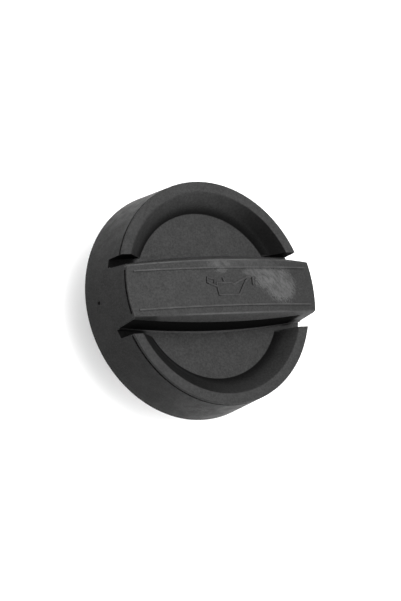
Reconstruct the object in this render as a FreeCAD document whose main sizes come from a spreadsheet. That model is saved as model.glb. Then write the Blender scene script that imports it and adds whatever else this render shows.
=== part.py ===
import FreeCAD, Part
import math
import os
import Sketcher

# Driving sizes in millimetres and degrees. Heights count up from the bottom edge of the skirt.
SIZES = {
    # tapered skirt and rim
    "skirt_radius": 34.0,
    "skirt_height": 16.8,
    "rim_radius": 32.6,
    "rim_width": 3.1,
    "skirt_wall": 2.4,
    "skirt_edge_chamfer": 0.4,
    "rim_edge_chamfer": 0.25,
    "rim_inner_round": 0.8,
    # shadow groove just below the rim and below the top edge of the bar's ends
    "groove_lip": 0.4,
    "groove_width": 0.65,
    "groove_depth": 0.65,
    # finger pockets: a flat floor with a sloping wall up to the rim
    "floor_radius": 24.2,
    "floor_height": 12.05,
    "deck_thickness": 2.8,
    # slots that run out beside the bar, with a floor that falls outwards
    "slot_half_width": 11.2,
    "slot_lip_height": 10.6,
    # grip bar at its middle
    "bar_foot_half": 10.5,
    "bar_foot_flare": 0.6,
    "bar_bevel_half": 9.52,
    "bar_bevel_height": 19.85,
    "bar_top_half": 7.85,
    "bar_height": 22.65,
    # grip bar at its ends, which lean with the skirt's cone
    "bar_half_length": 32.35,
    "bar_end_foot_half": 8.25,
    "bar_end_foot_flare": 0.1,
    "bar_end_bevel_half": 7.5,
    "bar_end_bevel_height": 18.9,
    "bar_end_top_half": 7.2,
    "bar_end_height": 19.8,
    "bar_root_depth": 2.0,
    "bar_edge_round": 0.6,
    "bar_end_groove_angle": 22.0,
    # two thin ribs along the bar's top
    "top_rib_offset": 5.45,
    "top_rib_end_gap": 2.5,
    "top_rib_width": 0.45,
    "top_rib_rise": 0.28,
    # core inside the bar, open to the neck
    "bar_core_half_length": 12.4,
    "bar_core_half_width": 7.0,
    "bar_crown_wall": 2.8,
    # cores under the rim, either side of the bar
    "rim_core_wall": 2.2,
    # thin webs between shoulder and skirt
    "web_count": 8,
    "web_thickness": 1.4,
    "web_depth": 3.6,
    # neck, shoulder and seal groove
    "neck_drop": 14.0,
    "neck_radius": 20.0,
    "neck_bore_radius": 15.5,
    "neck_chamfer": 0.8,
    "shoulder_radius": 24.0,
    "shoulder_thickness": 4.0,
    "seal_height": 3.6,
    "seal_width": 3.6,
    "seal_chamfer": 0.5,
    "seal_seat_radius": 18.4,
    "seal_clearance": 0.06,
    # bayonet lugs near the neck's end
    "lug_count": 2,
    "lug_angle": 58.0,
    "lug_radius": 23.6,
    "lug_height": 3.5,
    "lug_chamfer": 1.0,
    "lug_end_gap": 1.5,
    # moulding dimple in the skirt below one end of the bar
    "dimple_height": 6.4,
    "dimple_radius": 0.55,
}


class Size:
    """A size that knows its present value and the sheet expression that drives it."""

    def __init__(self, value, text):
        self.value = value
        self.text = text

    def __add__(self, other):
        return Size(self.value + other.value, f"({self.text} + {other.text})")

    def __sub__(self, other):
        return Size(self.value - other.value, f"({self.text} - {other.text})")

    def __mul__(self, other):
        return Size(self.value * other.value, f"({self.text} * {other.text})")

    def __truediv__(self, other):
        return Size(self.value / other.value, f"({self.text} / {other.text})")

    def __neg__(self):
        return Size(-self.value, f"(-{self.text})")


ZERO = Size(0.0, "0")
TWO = Size(2.0, "2")
# How far a cutting outline runs past the solid that it cuts, and an added one into its neighbour.
OVERRUN = Size(1.0, "1")
# Two places nearer than this, in millimetres, are the same one.
SAME_PLACE = 0.001


def size(name):
    return Size(SIZES[name], f"sizes.{name}")


def size_sheet(doc):
    """Writes the driving sizes into a sheet whose aliases the model is bound to."""
    sheet = doc.addObject("Spreadsheet::Sheet", "sizes")
    for row, (name, value) in enumerate(SIZES.items(), start=1):
        sheet.set(f"A{row}", name)
        sheet.set(f"B{row}", str(value))
        sheet.setAlias(f"B{row}", name)
    doc.recompute()
    return sheet


def bind(target, path, amount):
    target.setExpression(path, amount.text)


def origin_feature(body, role):
    return next(item for item in body.Origin.OriginFeatures if item.Role == role)


def new_sketch(body, name, plane, offset=None):
    """Adds a sketch on one of the body's own planes, moved along its normal if asked."""
    sketch = body.newObject("Sketcher::SketchObject", name)
    sketch.AttachmentSupport = [(origin_feature(body, plane), "")]
    sketch.MapMode = "FlatFace"
    if offset is not None:
        bind(sketch, "AttachmentOffset.Base.z", offset)
    return sketch


def tie(sketch, kind, edge, end, place):
    """Holds one coordinate of an edge's end at a size from the sheet."""
    if place is ZERO:
        axis = -2 if kind == "DistanceX" else -1
        sketch.addConstraint(Sketcher.Constraint("PointOnObject", edge, end, axis))
        return
    number = sketch.addConstraint(Sketcher.Constraint(kind, -1, 1, edge, end, place.value))
    bind(sketch, f"Constraints[{number}]", place)


def outline(sketch, points):
    """Draws a closed outline of straight lines with every corner tied to the sheet."""
    places = [FreeCAD.Vector(across.value, up.value, 0) for across, up in points]
    for start, end in zip(places, places[1:] + places[:1]):
        sketch.addGeometry(Part.LineSegment(start, end), False)
    for edge in range(len(points)):
        following = (edge + 1) % len(points)
        sketch.addConstraint(Sketcher.Constraint("Coincident", edge, 2, following, 1))
    for edge, (across, up) in enumerate(points):
        tie(sketch, "DistanceX", edge, 1, across)
        tie(sketch, "DistanceY", edge, 1, up)


def rounded(body, name, radius, chosen):
    """Rounds those edges of the body's present shape that a test picks out."""
    body.Document.recompute()
    base = body.Tip
    numbered = enumerate(base.Shape.Edges, start=1)
    feature = body.newObject("PartDesign::Fillet", name)
    feature.Base = (base, [f"Edge{number}" for number, edge in numbered if chosen(edge)])
    bind(feature, "Radius", radius)
    body.Tip = feature


def ring_edge(radius, height):
    """A test for the circular edge of a given radius round the cap's axis at a given height."""
    def chosen(edge):
        if not isinstance(edge.Curve, Part.Circle):
            return False
        off_radius = abs(edge.Curve.Radius - radius.value)
        off_height = abs(edge.Curve.Center.z - height.value)
        return max(off_radius, off_height) < SAME_PLACE
    return chosen


def turned(body, kind, name, sketch, angle=None):
    """Revolves a section about the cap's axis: all round, or evenly either side of its plane."""
    feature = body.newObject(f"PartDesign::{kind}", name)
    feature.Profile = sketch
    feature.ReferenceAxis = (sketch, ["V_Axis"])
    feature.Angle = 360.0
    if angle is not None:
        feature.Midplane = True
        bind(feature, "Angle", angle)
    return feature


def extruded(body, kind, name, sketch, length, both_ways):
    """Pads or pockets an outline, evenly either side of its plane or upwards from it."""
    feature = body.newObject(f"PartDesign::{kind}", name)
    feature.Profile = sketch
    if both_ways:
        feature.SideType = "Symmetric"
    else:
        feature.Reversed = kind == "Pocket"
    bind(feature, "Length", length)
    return feature


def repeated(body, feature, count):
    """Repeats a feature evenly round the cap's axis."""
    pattern = body.newObject("PartDesign::PolarPattern", f"{feature.Name}_pattern")
    pattern.Originals = [feature]
    pattern.Axis = (origin_feature(body, "Z_Axis"), [""])
    pattern.Angle = 360.0
    bind(pattern, "Occurrences", count)
    body.Tip = pattern


def mirrored(body, feature):
    """Repeats a feature on the other side of the bar's long middle plane."""
    mirror = body.newObject("PartDesign::Mirrored", f"{feature.Name}_mirror")
    mirror.Originals = [feature]
    mirror.MirrorPlane = (origin_feature(body, "XZ_Plane"), [""])
    body.Tip = mirror


# Heights and radii that several features share.
DECK_UNDERSIDE = size("floor_height") - size("deck_thickness")
SHOULDER_FACE = DECK_UNDERSIDE - size("shoulder_thickness")
NECK_END = -size("neck_drop")
SEAL_GROOVE_WIDTH = size("seal_height") + size("seal_clearance") * TWO
RIM_INNER_RADIUS = size("rim_radius") - size("rim_width")
GROOVE_TOP = size("skirt_height") - size("groove_lip")
SKIRT_TAPER = (size("skirt_radius") - size("rim_radius")) / size("skirt_height")
POCKET_DEPTH = size("skirt_height") - size("floor_height")
BAR_STATION = size("bar_half_length") + OVERRUN


def skirt_cone(height):
    """Radius of the skirt's outer face, carried on upwards to the ends of the bar."""
    return size("skirt_radius") - SKIRT_TAPER * height


def skirt_inside(height):
    return skirt_cone(height) - size("skirt_wall")


def bar_end_cone(height):
    """Radius of the bar's ends, which have the skirt's taper and are widest at their foot."""
    return size("bar_half_length") + SKIRT_TAPER * (size("bar_end_height") - height)


def bar_crown(along):
    """Height of the bar's crowned top at a distance from its middle."""
    fall = size("bar_height") - size("bar_end_height")
    share = along / BAR_STATION
    return size("bar_height") - fall * share * share


def angle_between_slots(radius):
    """Angle of an arc of given inner radius that keeps one wall clear of the slots either side."""
    sine = (size("slot_half_width") + size("rim_core_wall")) / radius
    return Size(180 - 2 * math.degrees(math.asin(sine.value)), f"(180 deg - 2 * asin({sine.text}))")


def shell(body):
    """Skirt, rim, pocket floor, shoulder and neck, turned from one section."""
    sketch = new_sketch(body, "shell_section", "XZ_Plane")
    seal_groove_bottom = SHOULDER_FACE - SEAL_GROOVE_WIDTH
    rim_chamfer_height = size("skirt_height") - size("rim_edge_chamfer")
    outline(sketch, [
        (ZERO, DECK_UNDERSIDE),
        (size("neck_bore_radius"), DECK_UNDERSIDE),
        (size("neck_bore_radius"), NECK_END),
        (size("neck_radius") - size("neck_chamfer"), NECK_END),
        (size("neck_radius"), NECK_END + size("neck_chamfer")),
        (size("neck_radius"), seal_groove_bottom),
        (size("seal_seat_radius"), seal_groove_bottom),
        (size("seal_seat_radius"), SHOULDER_FACE),
        (size("shoulder_radius"), SHOULDER_FACE),
        (size("shoulder_radius"), DECK_UNDERSIDE),
        (skirt_inside(DECK_UNDERSIDE), DECK_UNDERSIDE),
        (skirt_inside(ZERO), ZERO),
        (size("skirt_radius") - size("skirt_edge_chamfer"), ZERO),
        (skirt_cone(size("skirt_edge_chamfer")), size("skirt_edge_chamfer")),
        (skirt_cone(rim_chamfer_height), rim_chamfer_height),
        (size("rim_radius") - size("rim_edge_chamfer"), size("skirt_height")),
        (RIM_INNER_RADIUS, size("skirt_height")),
        (size("floor_radius"), size("floor_height")),
        (ZERO, size("floor_height")),
    ])
    turned(body, "Revolution", "shell", sketch)
    rim_inner = ring_edge(RIM_INNER_RADIUS, size("skirt_height"))
    rounded(body, "rim_inner_round", size("rim_inner_round"), rim_inner)


def bar_slots(body):
    """Opens the rim and the skirt at both ends of the bar, down to a floor that falls outwards."""
    sketch = new_sketch(body, "slot_section", "XZ_Plane")
    reach = size("skirt_radius") + OVERRUN
    run = skirt_cone(size("slot_lip_height")) - size("floor_radius")
    fall = (size("floor_height") - size("slot_lip_height")) / run
    low = size("floor_height") - fall * (reach - size("floor_radius"))
    high = size("skirt_height") + OVERRUN
    outline(sketch, [
        (-reach, high),
        (-reach, low),
        (-size("floor_radius"), size("floor_height")),
        (size("floor_radius"), size("floor_height")),
        (reach, low),
        (reach, high),
    ])
    extruded(body, "Pocket", "bar_slots", sketch, size("slot_half_width") * TWO, both_ways=True)


def ring_groove(body, name, top, cone, angle=None):
    """Cuts the shadow groove into a leaning face below a given height."""
    sketch = new_sketch(body, f"{name}_section", "XZ_Plane")
    bottom = top - size("groove_width")
    outline(sketch, [
        (cone(bottom) - size("groove_depth"), bottom),
        (cone(bottom) + OVERRUN, bottom),
        (cone(bottom) + OVERRUN, top),
        (cone(top) - size("groove_depth"), top),
    ])
    return turned(body, "Groove", name, sketch, angle)


def rim_cores(body):
    """Hollows the rim from below, so that the pocket's sloping wall has an even thickness."""
    sketch = new_sketch(body, "rim_core_section", "YZ_Plane")
    wall_run = RIM_INNER_RADIUS - size("floor_radius")
    start = size("floor_radius") + size("rim_core_wall")
    top = DECK_UNDERSIDE + POCKET_DEPTH - size("rim_core_wall") / TWO
    outline(sketch, [
        (start, DECK_UNDERSIDE - OVERRUN),
        (skirt_inside(DECK_UNDERSIDE), DECK_UNDERSIDE - OVERRUN),
        (skirt_inside(top), top),
        (start + wall_run - size("rim_core_wall"), top),
        (start, DECK_UNDERSIDE),
    ])
    core = turned(body, "Groove", "rim_core", sketch, angle_between_slots(start))
    repeated(body, core, TWO)


def webs(body):
    """Thin upright webs that carry the skirt from the shoulder."""
    sketch = new_sketch(body, "web_section", "XZ_Plane")
    low = DECK_UNDERSIDE - size("web_depth")
    inner = size("shoulder_radius") - OVERRUN
    outline(sketch, [
        (inner, low),
        (skirt_inside(low) + OVERRUN, low),
        (skirt_inside(DECK_UNDERSIDE) + OVERRUN, DECK_UNDERSIDE + OVERRUN),
        (inner, DECK_UNDERSIDE + OVERRUN),
    ])
    web = extruded(body, "Pad", "web", sketch, size("web_thickness"), both_ways=True)
    repeated(body, web, size("web_count"))


def lugs(body):
    """Bayonet lugs that turn in under the filler neck's ledge."""
    sketch = new_sketch(body, "lug_section", "XZ_Plane")
    low = NECK_END + size("lug_end_gap")
    high = low + size("lug_height")
    inner = size("neck_radius") - OVERRUN
    outline(sketch, [
        (inner, low),
        (size("lug_radius") - size("lug_chamfer"), low),
        (size("lug_radius"), low + size("lug_chamfer")),
        (size("lug_radius"), high),
        (inner, high),
    ])
    lug = turned(body, "Revolution", "lug", sketch, size("lug_angle"))
    repeated(body, lug, size("lug_count"))


def bar_section(body, name, station, foot, flare, bevel, top):
    """One cross-section of the bar: a flared foot, drafted sides, a bevel each side and a flat top."""
    sketch = new_sketch(body, name, "YZ_Plane", station)
    root_height = size("floor_height") - size("bar_root_depth")
    profile = [
        (foot + flare * TWO, root_height),
        (foot + flare * TWO, size("floor_height") - flare),
        (foot, size("floor_height") + flare),
        bevel,
        top,
    ]
    outline(sketch, profile + [(-across, up) for across, up in reversed(profile)])
    return sketch


def long_upper_edge(edge):
    """A test for the edges that run along the bar above its flared foot."""
    middle_point = edge.valueAt((edge.FirstParameter + edge.LastParameter) / 2)
    above_foot = size("floor_height") + size("bar_foot_flare") * TWO
    return edge.Length > size("bar_half_length").value and middle_point.z > above_foot.value


def bar_blank(doc):
    """The barrel-shaped, crowned grip bar, with its ends trimmed to the skirt's cone."""
    body = doc.addObject("PartDesign::Body", "bar_blank")
    end_sizes = (
        size("bar_end_foot_half"),
        size("bar_end_foot_flare"),
        (size("bar_end_bevel_half"), size("bar_end_bevel_height")),
        (size("bar_end_top_half"), size("bar_end_height")),
    )
    middle_sizes = (
        size("bar_foot_half"),
        size("bar_foot_flare"),
        (size("bar_bevel_half"), size("bar_bevel_height")),
        (size("bar_top_half"), size("bar_height")),
    )
    near = bar_section(body, "bar_near_end", -BAR_STATION, *end_sizes)
    middle = bar_section(body, "bar_middle", ZERO, *middle_sizes)
    far = bar_section(body, "bar_far_end", BAR_STATION, *end_sizes)
    loft = body.newObject("PartDesign::AdditiveLoft", "bar_loft")
    loft.Profile = near
    loft.Sections = [middle, far]
    trim = new_sketch(body, "bar_trim_section", "XZ_Plane")
    low = size("floor_height") - size("bar_root_depth") - OVERRUN
    high = size("bar_height") + OVERRUN
    reach = size("bar_half_length") + size("bar_foot_half")
    outline(trim, [
        (bar_end_cone(low), low),
        (reach, low),
        (reach, high),
        (bar_end_cone(high), high),
    ])
    turned(body, "Groove", "bar_trim", trim)
    rounded(body, "bar_edge_round", size("bar_edge_round"), long_upper_edge)
    return body


def grip_bar(doc, body):
    """Joins the bar to the cap, hollows it from the neck and cuts the groove in its ends."""
    blank = bar_blank(doc)
    doc.recompute()
    joined = body.newObject("PartDesign::Boolean", "bar_joined")
    joined.Type = "Fuse"
    joined.setObjects([blank])
    doc.recompute()
    core = new_sketch(body, "bar_core_outline", "XY_Plane", DECK_UNDERSIDE)
    across = size("bar_core_half_length")
    along = size("bar_core_half_width")
    outline(core, [(-across, -along), (across, -along), (across, along), (-across, along)])
    rise = size("bar_height") - size("bar_crown_wall") - DECK_UNDERSIDE
    extruded(body, "Pocket", "bar_core", core, rise, both_ways=False)
    end_top = bar_crown(size("bar_half_length")) - size("groove_lip")
    groove = ring_groove(body, "bar_end_groove", end_top, bar_end_cone, size("bar_end_groove_angle"))
    repeated(body, groove, TWO)


def top_ribs(body):
    """Two thin ribs that follow the bar's crown, one each side of its middle."""
    sketch = new_sketch(body, "top_rib_section", "XZ_Plane", size("top_rib_offset"))
    half = size("bar_half_length") - size("top_rib_end_gap")
    end_height = bar_crown(half)
    end_top = end_height + size("top_rib_rise")
    bottom = end_height - OVERRUN
    middle_top = size("bar_height") + size("top_rib_rise")
    sag = middle_top - end_top
    radius = half * half / (sag * TWO) + sag / TWO
    left_top = FreeCAD.Vector(-half.value, end_top.value, 0)
    right_top = FreeCAD.Vector(half.value, end_top.value, 0)
    left_low = FreeCAD.Vector(-half.value, bottom.value, 0)
    right_low = FreeCAD.Vector(half.value, bottom.value, 0)
    crest = FreeCAD.Vector(0, middle_top.value, 0)
    sketch.addGeometry(Part.LineSegment(left_top, left_low), False)
    sketch.addGeometry(Part.LineSegment(left_low, right_low), False)
    sketch.addGeometry(Part.LineSegment(right_low, right_top), False)
    sketch.addGeometry(Part.Arc(right_top, crest, left_top), False)
    sketch.addConstraint(Sketcher.Constraint("Coincident", 0, 2, 1, 1))
    sketch.addConstraint(Sketcher.Constraint("Coincident", 1, 2, 2, 1))
    sketch.addConstraint(Sketcher.Constraint("Coincident", 2, 2, 3, 1))
    sketch.addConstraint(Sketcher.Constraint("Coincident", 3, 2, 0, 1))
    for edge, across, up in [(0, -half, end_top), (1, -half, bottom), (2, half, bottom), (3, half, end_top)]:
        tie(sketch, "DistanceX", edge, 1, across)
        tie(sketch, "DistanceY", edge, 1, up)
    number = sketch.addConstraint(Sketcher.Constraint("Radius", 3, radius.value))
    bind(sketch, f"Constraints[{number}]", radius)
    rib = extruded(body, "Pad", "top_rib", sketch, size("top_rib_width"), both_ways=True)
    mirrored(body, rib)


def dimple(body):
    """A small round moulding mark on the skirt's axis line below one end of the bar."""
    ball = body.newObject("PartDesign::SubtractiveSphere", "dimple")
    bind(ball, "Radius", size("dimple_radius"))
    bind(ball, "Placement.Base.x", -skirt_cone(size("dimple_height")))
    bind(ball, "Placement.Base.z", size("dimple_height"))
    body.Tip = ball


def cap_body(doc):
    """The cap itself: one moulding that stands on its neck, with the bar along X."""
    body = doc.addObject("PartDesign::Body", "cap_body")
    body.Label = "cap_body"
    bind(body, "Placement.Base.z", size("neck_drop"))
    shell(body)
    bar_slots(body)
    ring_groove(body, "rim_groove", GROOVE_TOP, skirt_cone)
    rim_cores(body)
    webs(body)
    lugs(body)
    grip_bar(doc, body)
    top_ribs(body)
    dimple(body)
    return body


def seal_ring(doc):
    """Rubber ring of square section with broken edges, in its groove under the shoulder."""
    ring = doc.addObject("PartDesign::Body", "seal_ring")
    ring.Label = "seal_ring"
    bind(ring, "Placement.Base.z", size("neck_drop"))
    inner = size("seal_seat_radius") + size("seal_clearance")
    outer = inner + size("seal_width")
    top = SHOULDER_FACE - size("seal_clearance")
    bottom = top - size("seal_height")
    chamfer = size("seal_chamfer")
    sketch = new_sketch(ring, "seal_section", "XZ_Plane")
    outline(sketch, [
        (inner + chamfer, bottom),
        (outer - chamfer, bottom),
        (outer, bottom + chamfer),
        (outer, top - chamfer),
        (outer - chamfer, top),
        (inner + chamfer, top),
        (inner, top - chamfer),
        (inner, bottom + chamfer),
    ])
    turned(ring, "Revolution", "seal", sketch)
    return ring


def check(doc, pieces):
    """Stops before anything is written if a feature failed, cut nothing or left a bad solid."""
    for item in doc.Objects:
        if "Invalid" in item.State or "Error" in item.State:
            raise RuntimeError(f"{item.Name} failed: {item.State}")
        if item.TypeId in ("PartDesign::Pocket", "PartDesign::Groove"):
            if item.Shape.Volume >= item.BaseFeature.Shape.Volume:
                raise RuntimeError(f"{item.Name} cuts nothing")
    for piece in pieces:
        if piece.Shape.isNull() or not piece.Shape.isValid() or len(piece.Shape.Solids) != 1:
            raise RuntimeError(f"{piece.Label} isn't one valid solid")


def main():
    doc = FreeCAD.newDocument("oil_filler_cap")
    size_sheet(doc)
    pieces = [cap_body(doc), seal_ring(doc)]
    doc.recompute()
    check(doc, pieces)
    os.makedirs("parts", exist_ok=True)
    for piece in pieces:
        piece.Shape.exportStep(f"parts/{piece.Label}.step")
        box = piece.Shape.BoundBox
        print(f"{piece.Label}: {box.XLength:.2f} x {box.YLength:.2f} x {box.ZLength:.2f} mm,"
              f" {piece.Shape.Volume:.1f} mm3")


main()
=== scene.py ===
import math

import bpy
from mathutils import Matrix, Vector


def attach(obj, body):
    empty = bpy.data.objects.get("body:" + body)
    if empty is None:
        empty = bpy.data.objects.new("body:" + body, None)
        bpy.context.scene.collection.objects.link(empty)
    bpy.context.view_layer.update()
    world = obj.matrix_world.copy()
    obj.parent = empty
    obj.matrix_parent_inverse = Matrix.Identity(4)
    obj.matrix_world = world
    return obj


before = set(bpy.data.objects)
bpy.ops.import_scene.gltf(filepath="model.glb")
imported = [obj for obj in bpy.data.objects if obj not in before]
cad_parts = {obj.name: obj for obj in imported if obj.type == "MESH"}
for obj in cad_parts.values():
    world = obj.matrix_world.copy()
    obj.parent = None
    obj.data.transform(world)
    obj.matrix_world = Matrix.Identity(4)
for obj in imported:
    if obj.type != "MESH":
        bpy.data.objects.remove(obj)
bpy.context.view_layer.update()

MM = 0.001

# The cap stands on its neck, with the grip bar along x: its near end at minus x, its far end at plus x.
# Sizes in millimetres, in the part's frame.
SKIRT_BASE = 14.0
SKIRT_RADIUS = 34.0
SKIRT_TAPER = 1.0 / 12.0
POCKET_FLOOR = SKIRT_BASE + 12.05
POCKET_FLOOR_RADIUS = 24.2
SLOT_HALF_WIDTH = 11.2
DIMPLE_HEIGHT = SKIRT_BASE + 6.4
BAR_TOP = SKIRT_BASE + 22.65
BAR_END_FALL = 2.85
BAR_STATION = 33.35
BAR_TOP_HALF = 7.7
BAR_TOP_NARROWING = 0.65
BAR_LOWEST_TOP = SKIRT_BASE + 18.6
BAR_BEVEL = SKIRT_BASE + 19.85
BAR_BEVEL_END_FALL = 0.95

# Where the photograph was taken from: place, aim and turn about the line of sight.
CAMERA_PLACE = Vector((-267.1, -85.1, 387.2))
CAMERA_AIM = Vector((-3.11, -1.41, POCKET_FLOOR))
CAMERA_TURN = math.radians(66.45)
CAMERA_NEAREST = 10.0
FOCAL_PIXELS = 1600.0
IMAGE_HEIGHT = 601.0
SENSOR = 36.0


def crown(x):
    """Height of the bar's crowned top at x, in millimetres."""
    return BAR_TOP - BAR_END_FALL * (x / BAR_STATION) ** 2


class Tree:
    """Short names for building one node tree."""

    def __init__(self, tree):
        self.tree = tree
        self.tree.nodes.clear()

    def node(self, kind, inputs=None, **settings):
        made = self.tree.nodes.new(kind)
        for name, value in settings.items():
            setattr(made, name, value)
        for name, value in (inputs or {}).items():
            self.feed(made.inputs[name], value)
        return made

    def feed(self, socket, value):
        if isinstance(value, bpy.types.NodeSocket):
            self.tree.links.new(value, socket)
        else:
            socket.default_value = value

    def maths(self, operation, first, second=0.0, third=0.0):
        inputs = {0: first, 1: second, 2: third}
        return self.node("ShaderNodeMath", inputs, operation=operation).outputs[0]

    def times(self, first, *others):
        for other in others:
            first = self.maths("MULTIPLY", first, other)
        return first

    def total(self, first, *others):
        for other in others:
            first = self.maths("ADD", first, other)
        return first

    def most(self, first, *others):
        for other in others:
            first = self.maths("MAXIMUM", first, other)
        return first

    def less(self, first, second):
        return self.maths("SUBTRACT", first, second)

    def size(self, value):
        return self.maths("ABSOLUTE", value)

    def length(self, along, across):
        squared = self.maths("MULTIPLY_ADD", across, across, self.times(along, along))
        return self.maths("SQRT", squared)

    def ramp(self, value, low, high, start=0.0, end=1.0):
        """Eases from start to end as value goes from low to high."""
        inputs = {"Value": value, "From Min": low, "From Max": high, "To Min": start, "To Max": end}
        return self.node("ShaderNodeMapRange", inputs, interpolation_type="SMOOTHSTEP").outputs[0]

    def lessened(self, share, least):
        """Falls from 1 to the least as the share goes from 0 to 1."""
        return self.ramp(share, 0.0, 1.0, 1.0, least)

    def noise(self, vector, scale, detail=3.0, roughness=0.55):
        inputs = {"Vector": vector, "Scale": scale, "Detail": detail, "Roughness": roughness}
        return self.node("ShaderNodeTexNoise", inputs).outputs[0]

    def spread(self, vector, noise, limits, levels=(0.0, 1.0)):
        """Noise that eases from one level to the other between its limits."""
        return self.ramp(self.noise(vector, *noise), *limits, *levels)

    def mix(self, share, first, second):
        made = self.node("ShaderNodeMix", data_type="RGBA")
        self.feed(made.inputs[0], share)
        self.feed(made.inputs[6], first)
        self.feed(made.inputs[7], second)
        return made.outputs[2]

    def millimetres(self):
        """The point's place in the part's frame, in millimetres."""
        place = self.node("ShaderNodeTexCoord").outputs["Object"]
        inputs = {0: place, "Scale": 1.0 / MM}
        return self.node("ShaderNodeVectorMath", inputs, operation="SCALE").outputs[0]

    def parts(self, vector):
        made = self.node("ShaderNodeSeparateXYZ", {0: vector})
        return made.outputs[0], made.outputs[1], made.outputs[2]

    def bump(self, height, strength, depth):
        inputs = {"Strength": strength, "Distance": depth * MM, "Height": height}
        return self.node("ShaderNodeBump", inputs).outputs[0]


class Point:
    """A point on the cap's surface: its place in millimetres, and how far it faces along the bar and up."""

    def __init__(self, tree):
        self.place = tree.millimetres()
        self.x, self.y, self.z = tree.parts(self.place)
        self.off_middle = tree.size(self.y)
        self.radius = tree.length(self.x, self.y)
        along_bar = tree.maths("DIVIDE", self.x, BAR_STATION)
        self.bar_share = tree.times(along_bar, along_bar)
        normal = tree.node("ShaderNodeNewGeometry").outputs["Normal"]
        self.facing_along, _, self.upward = tree.parts(normal)


def grey(level):
    return (level, level, level, 1.0)


# Worn patches, as overlapping ovals: middle along and across the bar, reach along and across.
LARGE_SCUFF = [(19.0, 0.2, 6.2, 5.5), (14.2, 2.2, 5.2, 3.5)]
SMALL_SCUFF = [(-1.7, 6.6, 4.6, 1.6), (-1.9, 4.8, 2.2, 0.9), (9.4, 4.1, 4.2, 1.7)]
FAINT_SCUFF = [(6.0, 6.4, 14.0, 1.7)]
SMALL_SCUFF_WEAR = 0.75
FAINT_SCUFF_WEAR = 0.25
SCUFF_EDGE = (1.08, 0.72)

# The patches are streaked along one direction, torn at the edge and mottled inside.
STREAK_TURN = (0.0, 0.0, math.radians(-50))
STREAK_STRETCH = (1.9, 0.75, 1.0)
COARSE_TEARS = (0.8, 7.0, 0.72)
FINE_TEARS = (2.4, 4.0)
FINE_TEARS_SHARE = 0.6
TEAR_DEPTH = 1.3
TEAR_MIDDLE = 0.8
LARGE_TEAR = 1.3
SMALL_TEAR = 2.0
SCUFF_MOTTLE = {"noise": (0.8, 6.0, 0.7), "limits": (0.34, 0.64), "levels": (0.3, 1.05)}


def worn_patch(tree, point, torn, lobes):
    """A scuffed patch with a torn edge, made of overlapping ovals."""
    patches = []
    for middle_x, middle_y, reach_x, reach_y in lobes:
        along = tree.maths("DIVIDE", tree.less(point.x, middle_x), reach_x)
        across = tree.maths("DIVIDE", tree.less(point.y, middle_y), reach_y)
        distance = tree.total(tree.length(along, across), torn)
        patches.append(tree.ramp(distance, *SCUFF_EDGE))
    return tree.most(*patches)


def scuffs(tree, point):
    """Worn patches on the bar's top, mottled inside and ragged round their edges."""
    turned = {"Vector": point.place, "Rotation": STREAK_TURN, "Scale": STREAK_STRETCH}
    streaks = tree.node("ShaderNodeMapping", turned, vector_type="TEXTURE").outputs[0]
    fine_tears = tree.times(tree.noise(streaks, *FINE_TEARS), FINE_TEARS_SHARE)
    ragged = tree.total(tree.noise(streaks, *COARSE_TEARS), fine_tears)
    torn = tree.maths("MULTIPLY_ADD", ragged, TEAR_DEPTH, -TEAR_DEPTH * TEAR_MIDDLE)
    little_torn = tree.times(torn, LARGE_TEAR)
    more_torn = tree.times(torn, SMALL_TEAR)
    large = worn_patch(tree, point, little_torn, LARGE_SCUFF)
    small = tree.times(worn_patch(tree, point, more_torn, SMALL_SCUFF), SMALL_SCUFF_WEAR)
    faint = tree.times(worn_patch(tree, point, more_torn, FAINT_SCUFF), FAINT_SCUFF_WEAR)
    return tree.times(tree.most(large, small, faint), tree.spread(streaks, **SCUFF_MOTTLE))


# Rubbed places on the bar's long edges, and painted highlights on the ribs, the sign and the bar's foot. Each
# pair is where the paling begins and where it is full.
EDGE_REACH = (0.34, 0.06)
EDGE_PATCHES = {"noise": (0.12, 3.0), "limits": (0.3, 0.65), "levels": (0.35, 1.0)}
EDGE_FADE = (24.0, 2.0)
EDGE_FAR_WEAR = 0.15
NEAR_CORNER_X = (-12.0, -20.0)
NEAR_CORNER_Y = (0.0, -1.0)
NEAR_CORNER_WEAR = 0.1
RELIEF_RISE = (0.07, 0.16)
RELIEF_PATCHES = {"noise": (0.3, 4.0), "limits": (0.3, 0.7), "levels": (0.45, 1.0)}
SIGN_TO_RIBS = (3.2, 4.2)
SIGN_HIGHLIGHT = 0.45
FOOT_WIDTH = (SLOT_HALF_WIDTH + 0.6, SLOT_HALF_WIDTH + 0.3)
FOOT_LOW_END = (POCKET_FLOOR + 0.05, POCKET_FLOOR + 0.2)
FOOT_HIGH_END = (POCKET_FLOOR + 1.2, POCKET_FLOOR + 0.8)
FOOT_LEAST_UPWARD = (0.5, 0.64)
FOOT_MOST_UPWARD = (0.9, 0.8)


def rubbed_edges(tree, point):
    """The bar's two long top edges, paled by rubbing towards the middle."""
    edge = tree.less(BAR_TOP_HALF, tree.times(point.bar_share, BAR_TOP_NARROWING))
    near = tree.ramp(tree.size(tree.less(point.off_middle, edge)), *EDGE_REACH)
    patches = tree.spread(point.place, **EDGE_PATCHES)
    fading = tree.ramp(point.x, *EDGE_FADE, EDGE_FAR_WEAR, 1.0)
    near_corner = tree.times(tree.ramp(point.x, *NEAR_CORNER_X), tree.ramp(point.y, *NEAR_CORNER_Y))
    return tree.times(near, patches, fading, tree.lessened(near_corner, NEAR_CORNER_WEAR))


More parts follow.
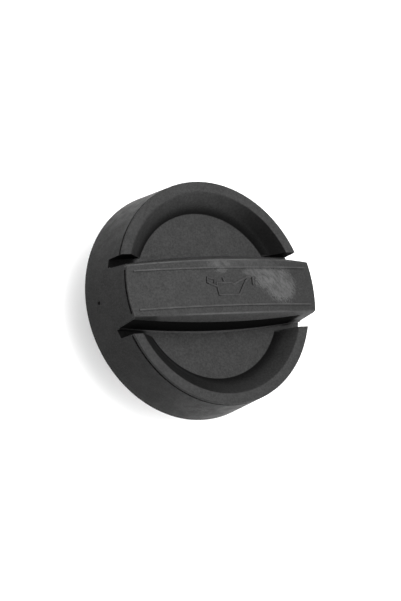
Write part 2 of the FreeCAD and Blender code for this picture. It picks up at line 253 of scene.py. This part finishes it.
def relief_highlight(tree, point):
    """Painted highlight on what stands up from the bar's crown, pale on top: the two ribs and, less, the
    sign.
    """
    crown_height = tree.maths("MULTIPLY_ADD", point.bar_share, -BAR_END_FALL, BAR_TOP)
    above = tree.ramp(tree.less(point.z, crown_height), *RELIEF_RISE)
    patches = tree.spread(point.place, **RELIEF_PATCHES)
    most_on_ribs = tree.ramp(point.off_middle, *SIGN_TO_RIBS, SIGN_HIGHLIGHT, 1.0)
    return tree.times(above, patches, most_on_ribs)


def foot_highlight(tree, point):
    """Painted highlight on the flared foot along the bar, a little paler than the pocket floor."""
    beside_bar = tree.ramp(point.off_middle, *FOOT_WIDTH)
    height = tree.times(tree.ramp(point.z, *FOOT_LOW_END), tree.ramp(point.z, *FOOT_HIGH_END))
    lean = tree.times(tree.ramp(point.upward, *FOOT_LEAST_UPWARD), tree.ramp(point.upward, *FOOT_MOST_UPWARD))
    return tree.times(height, lean, beside_bar)


# Painted shade: places made darker, rougher and less shiny to stand for shade in the recesses and on the
# sign's strokes. Each pair is where the painted shade begins and where it is full.
INSIDE_SKIRT = (0.05, 0.3)
ABOVE_DECK = (POCKET_FLOOR - 3.0, POCKET_FLOOR - 2.5)
STEEP = (0.62, 0.4)
BELOW_BEVEL = (-0.1, 0.3)
BAR_WIDTH = (SLOT_HALF_WIDTH - 0.3, SLOT_HALF_WIDTH - 0.6)
BAR_FAR_TIP = (25.0, 29.0)
SLOPING = (0.93, 0.84)
PAST_FLOOR = (POCKET_FLOOR_RADIUS, POCKET_FLOOR_RADIUS + 2.5)
WALL_PAINTED_SHADE = 0.15
FAR_WALL_X = (4.0, 24.0)
FAR_WALL_Y = (0.0, 4.0)
FAR_WALL_PAINTED_SHADE = 0.6
NEAR_WALL_X = (2.0, -14.0)
NEAR_WALL_Y = (-4.0, -8.0)
NEAR_WALL_PAINTED_SHADE = 0.5
WALL_FOOT_START = (POCKET_FLOOR_RADIUS - 0.1, POCKET_FLOOR_RADIUS + 0.2)
WALL_FOOT_HEIGHT = (POCKET_FLOOR + 3.4, POCKET_FLOOR)
WALL_FOOT_PAINTED_SHADE = 0.8
OUTSIDE_SLOTS = (SLOT_HALF_WIDTH - 0.05, SLOT_HALF_WIDTH + 0.15)
INSIDE_SLOTS = (SLOT_HALF_WIDTH + 0.15, SLOT_HALF_WIDTH - 0.05)
NEAR_SLOTS = (-18.0, -22.0)
SLOT_FLOOR_HEIGHT = (POCKET_FLOOR + 0.6, POCKET_FLOOR + 0.1)
SLOT_FLOOR_PAINTED_SHADE = 0.9
DIMPLE_REACH = (1.2, 0.8)
DIMPLE_RADIUS = (SKIRT_RADIUS - 3.0, SKIRT_RADIUS - 2.5)
SIGN_SIDES = (-0.2, -0.5)
SIGN_REACH = (12.0, 10.0)
SIGN_HEIGHT = (BAR_TOP - 0.5, BAR_TOP - 0.4)


def steep_sides(tree, point):
    """Painted shade on the bar's sides below the bevel and on the slots' walls, left off at the bar's far
    tip.
    """
    bevel = tree.maths("MULTIPLY_ADD", point.bar_share, -BAR_BEVEL_END_FALL, BAR_BEVEL)
    below_bevel = tree.ramp(tree.less(bevel, point.z), *BELOW_BEVEL)
    far_tip = tree.times(tree.ramp(point.x, *BAR_FAR_TIP), tree.ramp(point.off_middle, *BAR_WIDTH))
    return tree.times(tree.ramp(point.upward, *STEEP), below_bevel, tree.less(1.0, far_tip))


def pocket_walls(tree, point):
    """Painted shade on the pockets' sloping walls, darkest along their foot and at one end of each pocket."""
    far = tree.times(tree.ramp(point.x, *FAR_WALL_X), tree.ramp(point.y, *FAR_WALL_Y), FAR_WALL_PAINTED_SHADE)
    near = tree.times(tree.ramp(point.x, *NEAR_WALL_X), tree.ramp(point.y, *NEAR_WALL_Y), NEAR_WALL_PAINTED_SHADE)
    sloping = tree.times(tree.ramp(point.upward, *SLOPING), tree.ramp(point.radius, *PAST_FLOOR))
    wall = tree.times(sloping, tree.total(far, near, WALL_PAINTED_SHADE))
    foot_height = tree.ramp(point.z, *WALL_FOOT_HEIGHT, 0.0, WALL_FOOT_PAINTED_SHADE)
    past_slots = tree.ramp(point.off_middle, *OUTSIDE_SLOTS)
    foot = tree.times(tree.ramp(point.radius, *WALL_FOOT_START), past_slots, foot_height)
    return tree.most(wall, foot)


def slot_floors(tree, point):
    """Painted shade on the floors of the two slots at the bar's near end."""
    low = tree.times(tree.ramp(point.z, *SLOT_FLOOR_HEIGHT), tree.ramp(point.radius, *PAST_FLOOR))
    beside_bar = tree.times(tree.ramp(point.off_middle, *INSIDE_SLOTS), tree.ramp(point.x, *NEAR_SLOTS))
    return tree.times(low, beside_bar, SLOT_FLOOR_PAINTED_SHADE)


def dimple(tree, point):
    """Painted shade in the small moulding dimple in the skirt."""
    off_height = tree.size(tree.less(point.z, DIMPLE_HEIGHT))
    return tree.times(tree.ramp(off_height, *DIMPLE_REACH), tree.ramp(point.radius, *DIMPLE_RADIUS))


def sign_sides(tree, point):
    """Painted shade on the sides of the sign's strokes that face the bar's near end, away from the light."""
    on_sign = tree.times(tree.ramp(tree.size(point.x), *SIGN_REACH), tree.ramp(point.z, *SIGN_HEIGHT))
    return tree.times(tree.ramp(point.facing_along, *SIGN_SIDES), on_sign)


def painted_shade_mask(tree, point):
    """Painted shade: a darker, rougher, less shiny skin in the recesses and on the sides of the sign's
    strokes.
    """
    skirt = tree.maths("MULTIPLY_ADD", tree.less(point.z, SKIRT_BASE), -SKIRT_TAPER, SKIRT_RADIUS)
    inside = tree.ramp(tree.less(skirt, point.radius), *INSIDE_SKIRT)
    above_deck = tree.ramp(point.z, *ABOVE_DECK)
    hidden = tree.most(steep_sides(tree, point), pocket_walls(tree, point), slot_floors(tree, point))
    recesses = tree.times(tree.most(tree.times(hidden, above_deck), dimple(tree, point)), inside)
    return tree.most(recesses, sign_sides(tree, point))


def finish_material(material, tree, inputs):
    shader = tree.node("ShaderNodeBsdfPrincipled", inputs)
    output = tree.node("ShaderNodeOutputMaterial")
    tree.tree.links.new(shader.outputs[0], output.inputs[0])
    return material


def new_material(name):
    material = bpy.data.materials.new(name)
    material.use_nodes = True
    return material, Tree(material.node_tree)


# Black plastic: greys of the skin, of its painted shade and of its paled scuffs and painted highlights;
# shares of wear and of painted highlight, roughness, shine and grain.
DEEP_BLACK = grey(0.0040)
CLOUDY_BLACK = grey(0.0065)
SPECK_BLACK = grey(0.0100)
# Painted shade: the darker black of the recesses and of the sign's shaded stroke sides.
PAINTED_SHADE_BLACK = grey(0.0020)
# Pale grey of the scuffs and of the edges paled by rubbing, also used as painted highlight on the ribs, the
# sign and the bar's foot.
WEAR_AND_HIGHLIGHT_GREY = grey(0.054)
CLOUDS = {"noise": (0.09, 4.0), "limits": (0.3, 0.7)}
SPECKS = {"noise": (2.6, 2.0), "limits": (0.4, 0.75)}
ON_BAR_TOP = (BAR_LOWEST_TOP, BAR_LOWEST_TOP + 0.4)
EDGE_WEAR = 0.8
# Share of painted highlight on the ribs and the sign.
RELIEF_HIGHLIGHT = 0.5
# Share of painted highlight on the bar's foot.
FOOT_HIGHLIGHT = 0.25
PLAIN_ROUGHNESS = {"noise": (0.35, 4.0), "limits": (0.3, 0.75), "levels": (0.46, 0.58)}
WEAR_AND_HIGHLIGHT_ROUGHNESS = 0.10
PAINTED_SHADE_ROUGHNESS = 0.8
SIDE_TO_TOP = (0.15, 0.3)
SIDE_SHINE = 0.068
TOP_SHINE = 0.27
PAINTED_SHADE_SHINE = 0.16
BAR_FAR_HALF = (10.0, 30.0)
BAR_FAR_SHINE = 0.82
SHINE_GRAIN = {"noise": (1.7, 3.0, 0.7), "limits": (0.3, 0.7), "levels": (0.76, 1.24)}
FINE_GRAIN = (4.2, 3.0, 0.65)
COARSE_GRAIN = (1.3, 2.0)
COARSE_GRAIN_SHARE = 0.5
GRAIN_STRENGTH = 0.4
GRAIN_DEPTH = 0.035


def wear_and_highlight_mask(tree, point, on_bar_top):
    """How pale the skin is made, from 0 to 1: by scuffs and rubbing on the bar's top, and as painted
    highlight on the ribs, the sign and the bar's foot.
    """
    edges = tree.times(rubbed_edges(tree, point), EDGE_WEAR)
    relief = tree.times(relief_highlight(tree, point), RELIEF_HIGHLIGHT)
    foot = tree.times(foot_highlight(tree, point), FOOT_HIGHLIGHT)
    return tree.most(tree.times(tree.most(scuffs(tree, point), edges, relief), on_bar_top), foot)


def plastic_colour(tree, point, painted_shade, wear_and_highlight):
    cloudy = tree.mix(tree.spread(point.place, **CLOUDS), DEEP_BLACK, CLOUDY_BLACK)
    moulded = tree.mix(tree.spread(point.place, **SPECKS), cloudy, SPECK_BLACK)
    return tree.mix(wear_and_highlight, tree.mix(painted_shade, moulded, PAINTED_SHADE_BLACK), WEAR_AND_HIGHLIGHT_GREY)


def plastic_roughness(tree, point, painted_shade, wear_and_highlight):
    plain = tree.spread(point.place, **PLAIN_ROUGHNESS)
    roughened = tree.total(plain, tree.times(wear_and_highlight, WEAR_AND_HIGHLIGHT_ROUGHNESS))
    return tree.most(roughened, tree.times(painted_shade, PAINTED_SHADE_ROUGHNESS))


def plastic_shine(tree, point, painted_shade, on_bar_top):
    """Weaker on upright faces, towards the bar's far end and where shade is painted."""
    plain = tree.ramp(point.upward, *SIDE_TO_TOP, SIDE_SHINE, TOP_SHINE)
    far_end = tree.times(tree.ramp(point.x, *BAR_FAR_HALF), on_bar_top)
    grain = tree.spread(point.place, **SHINE_GRAIN)
    return tree.times(plain, grain, tree.lessened(far_end, BAR_FAR_SHINE), tree.lessened(painted_shade, PAINTED_SHADE_SHINE))


def plastic_grain(tree, point):
    coarse = tree.noise(point.place, *COARSE_GRAIN)
    fine = tree.noise(point.place, *FINE_GRAIN)
    height = tree.maths("MULTIPLY_ADD", coarse, COARSE_GRAIN_SHARE, fine)
    return tree.bump(height, GRAIN_STRENGTH, GRAIN_DEPTH)


def cap_plastic():
    """Black moulded plastic with a fine matt grain, scuffed and paled by rubbing on the grip bar, with
    painted shade in its recesses and painted highlights on the ribs, the sign and the bar's foot.
    """
    material, tree = new_material("cap_plastic")
    point = Point(tree)
    on_bar_top = tree.ramp(point.z, *ON_BAR_TOP)
    # Painted shade in the recesses and on the sides of the sign's strokes.
    painted_shade = painted_shade_mask(tree, point)
    # Scuffs and edges paled by rubbing, with painted highlight on the ribs, the sign and the bar's foot.
    wear_and_highlight = wear_and_highlight_mask(tree, point, on_bar_top)
    return finish_material(material, tree, {
        "Base Color": plastic_colour(tree, point, painted_shade, wear_and_highlight),
        "Roughness": plastic_roughness(tree, point, painted_shade, wear_and_highlight),
        "Normal": plastic_grain(tree, point),
        "Specular IOR Level": plastic_shine(tree, point, painted_shade, on_bar_top),
    })


# Rubber of the seal: blacks, bloom and grain.
RUBBER_BLACK = grey(0.006)
BLOOM_BLACK = grey(0.016)
RUBBER_BLOOM = {"noise": (0.4, 4.0), "limits": (0.35, 0.75)}
RUBBER_ROUGHNESS = {"noise": (0.8, 3.0), "limits": (0.3, 0.7), "levels": (0.62, 0.8)}
RUBBER_GRAIN = (2.2, 3.0)
RUBBER_GRAIN_STRENGTH = 0.3
RUBBER_GRAIN_DEPTH = 0.04
RUBBER_SHINE = 0.3


def seal_rubber():
    """Dull black rubber with a faint bloom."""
    material, tree = new_material("seal_rubber")
    place = tree.millimetres()
    grain = tree.noise(place, *RUBBER_GRAIN)
    return finish_material(material, tree, {
        "Base Color": tree.mix(tree.spread(place, **RUBBER_BLOOM), RUBBER_BLACK, BLOOM_BLACK),
        "Roughness": tree.spread(place, **RUBBER_ROUGHNESS),
        "Normal": tree.bump(grain, RUBBER_GRAIN_STRENGTH, RUBBER_GRAIN_DEPTH),
        "Specular IOR Level": RUBBER_SHINE,
    })


# Paper of the floor.
PAPER_DARK = grey(0.80)
PAPER_PALE = grey(0.83)
PAPER_FIBRE = (0.02, 2.0)
PAPER_ROUGHNESS = 0.9
PAPER_GLOW = 0.25
FLOOR_HALF = 2000.0


def floor_paper():
    """Plain pale paper under the cap, lit a little from below."""
    material, tree = new_material("floor_paper")
    fibre = tree.noise(tree.millimetres(), *PAPER_FIBRE)
    return finish_material(material, tree, {
        "Base Color": tree.mix(fibre, PAPER_DARK, PAPER_PALE),
        "Roughness": PAPER_ROUGHNESS,
        "Emission Color": grey(1.0),
        "Emission Strength": PAPER_GLOW,
    })


CREASE_ANGLE = math.radians(32)
WELD_REACH = 0.0005


def crease_shading(angle):
    """A node group that shades a mesh smooth except across edges sharper than the angle."""
    group = bpy.data.node_groups.new("crease_shading", "GeometryNodeTree")
    group.interface.new_socket("Geometry", in_out="INPUT", socket_type="NodeSocketGeometry")
    group.interface.new_socket("Geometry", in_out="OUTPUT", socket_type="NodeSocketGeometry")
    tree = Tree(group)
    start = tree.node("NodeGroupInput")
    edge_angle = tree.node("GeometryNodeInputMeshEdgeAngle")
    gentle = tree.node("FunctionNodeCompare", data_type="FLOAT", operation="LESS_EQUAL")
    tree.feed(gentle.inputs[0], edge_angle.outputs[0])
    tree.feed(gentle.inputs[1], angle)
    faces = tree.node("GeometryNodeSetShadeSmooth", {"Geometry": start.outputs[0]}, domain="FACE")
    edges = tree.node("GeometryNodeSetShadeSmooth", domain="EDGE")
    tree.feed(edges.inputs["Geometry"], faces.outputs[0])
    tree.feed(edges.inputs["Shade Smooth"], gentle.outputs[0])
    tree.node("NodeGroupOutput", {0: edges.outputs[0]})
    return group


def dress(node, material, shading):
    """Gives a solid its material and even shading, with its vertices as they are."""
    mesh = node.data
    given = mesh.attributes.get("custom_normal")
    if given is not None:
        mesh.attributes.remove(given)
    weld = node.modifiers.new("weld", "WELD")
    weld.merge_threshold = WELD_REACH * MM
    creases = node.modifiers.new("creases", "NODES")
    creases.node_group = shading
    normals = node.modifiers.new("normals", "WEIGHTED_NORMAL")
    normals.keep_sharp = True
    mesh.materials.clear()
    mesh.materials.append(material)


# The oil-can sign on the bar, as strokes in millimetres along and across the bar.
SIGN_STROKES = {
    "handle": [(-4.31, 0.07), (-7.48, 1.31), (-7.2, 2.76), (-4.87, 2.12), (-5.16, 0.4)],
    "can": [(-4.45, 1.1), (-4.31, 0.07), (-4.05, -2.35), (2.96, -2.44), (5.75, 1.32), (8.13, 2.95)],
    "lid_and_spout": [(8.13, 2.95), (4.4, 1.79), (1.41, 0.52), (0.83, 1.02), (-4.45, 1.1)],
    "knob": [(-2.07, 2.6), (-1.67, 1.1)],
    "drip": [(8.54, 2.6), (8.4, 0.3)],
}
SIGN_LINE_RADIUS = 0.42
SIGN_LINE_ROUNDNESS = 3
SIGN_SINK = 0.19
SIGN_STEP = 1.0


def even_points(corners):
    """Points along a stroke, close enough together to follow the bar's crown."""
    points = [corners[0]]
    for start, end in zip(corners, corners[1:]):
        count = math.ceil(math.dist(start, end) / SIGN_STEP)
        for step in range(1, count + 1):
            share = step / count
            points.append(tuple(a + (b - a) * share for a, b in zip(start, end)))
    return points


def link(piece):
    bpy.context.scene.collection.objects.link(piece)
    return piece


def sign_curve():
    """Round strokes, sunk in the bar's crown to leave only their tops raised."""
    curve = bpy.data.curves.new("oil_can_strokes", "CURVE")
    curve.dimensions = "3D"
    curve.bevel_depth = SIGN_LINE_RADIUS * MM
    curve.bevel_resolution = SIGN_LINE_ROUNDNESS
    curve.use_fill_caps = True
    for corners in SIGN_STROKES.values():
        points = even_points(corners)
        spline = curve.splines.new("POLY")
        spline.points.add(len(points) - 1)
        for point, (x, y) in zip(spline.points, points):
            point.co = (x * MM, y * MM, (crown(x) - SIGN_SINK) * MM, 1.0)
    return curve


def oil_can_sign(material):
    """The raised outline of an oil can, moulded on the bar's top."""
    strokes = link(bpy.data.objects.new("oil_can_strokes", sign_curve()))
    graph = bpy.context.evaluated_depsgraph_get()
    mesh = bpy.data.meshes.new_from_object(strokes.evaluated_get(graph))
    bpy.data.objects.remove(strokes)
    mesh.materials.clear()
    mesh.materials.append(material)
    sign = link(bpy.data.objects.new("oil_can_sign", mesh))
    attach(sign, "root")


def floor():
    half = FLOOR_HALF * MM
    mesh = bpy.data.meshes.new("floor")
    corners = [(-half, -half, 0), (half, -half, 0), (half, half, 0), (-half, half, 0)]
    mesh.from_pydata(corners, [], [(0, 1, 2, 3)])
    mesh.materials.append(floor_paper())
    link(bpy.data.objects.new("floor", mesh))


# Light comes mostly from the side across from the camera, with weaker light from above and from the sides.
# Each spread is how far a direction faces that side, or up, where the light begins and where it is full.
MAIN_SIDE = Vector((0.80, 0.45, 0.40)).normalized()
MAIN_SPREAD = (-0.35, 0.55)
MAIN_HEIGHT = (0.5, 0.9)
MAIN_LOW_SHARE = 0.52
MAIN_LIGHT = 2.65
DIM_LIGHT = 0.08
OVERHEAD_SPREAD = (0.88, 1.0)
OVERHEAD_LIGHT = 2.5
LOW_SIDE = Vector((0.50, -0.86, 0.0)).normalized()
LOW_SPREAD = (0.55, 0.95)
LOW_LIGHT = 2.2
NEAR_SIDE = Vector((-1.0, 0.0, 0.0))
NEAR_SPREAD = (0.1, 0.7)
NEAR_HEIGHT = (0.5, 0.25)
NEAR_LIGHT = 5.5
SOFTBOX_PLACE = Vector((250.0, 380.0, 550.0))
SOFTBOX_SIZE = 500.0
SOFTBOX_POWER = 0.8


def world_light():
    """A soft surround, bright on the light's side and dim behind the camera."""
    world = bpy.data.worlds.new("studio")
    bpy.context.scene.world = world
    world.use_nodes = True
    tree = Tree(world.node_tree)
    direction = tree.node("ShaderNodeTexCoord").outputs["Generated"]

    def facing(side):
        made = tree.node("ShaderNodeVectorMath", {0: direction, 1: side}, operation="DOT_PRODUCT")
        return made.outputs["Value"]

    height = tree.parts(direction)[2]
    main = tree.ramp(facing(MAIN_SIDE), *MAIN_SPREAD, DIM_LIGHT, MAIN_LIGHT)
    main = tree.times(main, tree.ramp(height, *MAIN_HEIGHT, MAIN_LOW_SHARE, 1.0))
    overhead = tree.ramp(height, *OVERHEAD_SPREAD, 0.0, OVERHEAD_LIGHT)
    low = tree.ramp(facing(LOW_SIDE), *LOW_SPREAD, 0.0, LOW_LIGHT)
    near = tree.ramp(facing(NEAR_SIDE), *NEAR_SPREAD, 0.0, NEAR_LIGHT)
    near = tree.times(near, tree.ramp(height, *NEAR_HEIGHT))
    strength = tree.total(main, overhead, low, near)
    background = tree.node("ShaderNodeBackground", {"Color": grey(1.0), "Strength": strength})
    output = tree.node("ShaderNodeOutputWorld")
    tree.tree.links.new(background.outputs[0], output.inputs[0])


def softbox():
    """One broad lamp on the light's side, for soft shadows under the bar and rim."""
    lamp = bpy.data.lights.new("softbox", "AREA")
    lamp.energy = SOFTBOX_POWER
    lamp.size = SOFTBOX_SIZE * MM
    box = link(bpy.data.objects.new("softbox", lamp))
    box.location = SOFTBOX_PLACE * MM
    box.rotation_euler = (-SOFTBOX_PLACE).to_track_quat("-Z", "Y").to_euler()


def camera():
    """The photograph's camera. The long side of the sensor is the image's height."""
    data = bpy.data.cameras.new("camera")
    data.sensor_width = SENSOR
    data.lens = FOCAL_PIXELS / IMAGE_HEIGHT * SENSOR
    data.clip_start = CAMERA_NEAREST * MM
    view = link(bpy.data.objects.new("camera", data))
    sight = (CAMERA_AIM - CAMERA_PLACE).to_track_quat("-Z", "Y").to_matrix().to_4x4()
    turn = Matrix.Rotation(CAMERA_TURN, 4, "Z")
    view.matrix_world = Matrix.Translation(CAMERA_PLACE * MM) @ sight @ turn
    bpy.context.scene.camera = view


plastic = cap_plastic()
shading = crease_shading(CREASE_ANGLE)
dress(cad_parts["cap_body"], plastic, shading)
dress(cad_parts["seal_ring"], seal_rubber(), shading)
oil_can_sign(plastic)
floor()
world_light()
softbox()
camera()
bpy.context.scene.view_settings.view_transform = "Standard"

bpy.context.view_layer.update()
